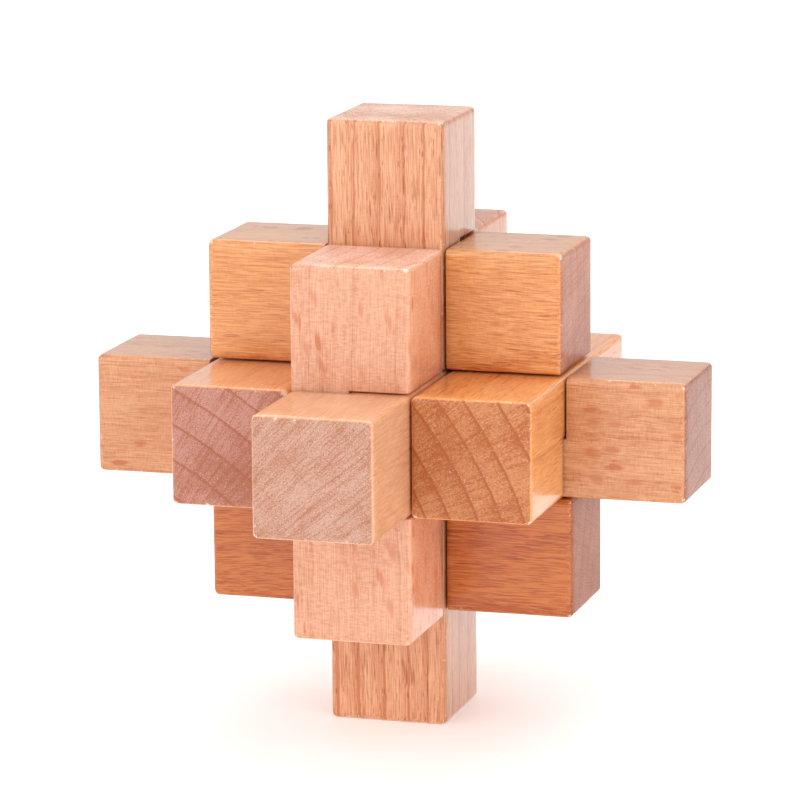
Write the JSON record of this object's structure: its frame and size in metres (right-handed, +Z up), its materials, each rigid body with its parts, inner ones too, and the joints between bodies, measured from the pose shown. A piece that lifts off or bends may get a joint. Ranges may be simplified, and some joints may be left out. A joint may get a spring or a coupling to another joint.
{
  "type": "wooden burr puzzle",
  "caption": "Interlocking burr puzzle of square beech bars that cross in half laps to form a stepped diamond, with a rising key bar.",
  "frame": {"origin": "centre of the foot, the flat lower end of the upright bar, on the surface the puzzle stands on", "axes": "+X right, +Y back, +Z up; each bar runs along one of them"},
  "size_m": [0.0748, 0.0748, 0.0749],
  "materials": {
    "upright_beech": "satin clear lacquer on steamed beech, dark ray dashes on the front",
    "cross_beech": "satin clear lacquer on beech, quarter sawn with small flecks",
    "depth_beech": "satin clear lacquer on beech, pale speckled end grain",
    "key_beech": "satin clear lacquer on beech, golden with ray dashes",
    "lower_beech": "satin clear lacquer on beech, the darkest bar",
    "left_beech": "satin clear lacquer on beech, dark mauve-brown end grain",
    "right_beech": "satin clear lacquer on beech, reddish with curved rings on the end",
    "front_beech": "satin clear lacquer on beech, pink with fine upright grain",
    "back_beech": "satin clear lacquer on beech, pink"
  },
  "bodies": {
    "core": {"upright_bar": "upright_beech", "cross_bar": "cross_beech", "depth_bar": "depth_beech", "lower_bar": "lower_beech", "front_bar": "front_beech", "back_bar": "back_beech"},
    "key": {"key_bar": "key_beech"},
    "left_side": {"left_bar": "left_beech"},
    "right_side": {"right_bar": "right_beech"}
  },
  "joints": [
    {"name": "key_lift", "type": "slide", "parent": "core", "child": "key", "axis": [0, 0, 1], "range_m": [0, 0.0075]},
    {"name": "left_lift", "type": "slide", "parent": "core", "child": "left_side", "axis": [0, 0, 1], "range_m": [0, 0.0075]},
    {"name": "right_lift", "type": "slide", "parent": "core", "child": "right_side", "axis": [0, 0, 1], "range_m": [0, 0.0075]}
  ],
  "couplings": [
    {"joint": "left_lift", "follows": "key_lift", "ratio": 1},
    {"joint": "right_lift", "follows": "key_lift", "ratio": 1}
  ]
}
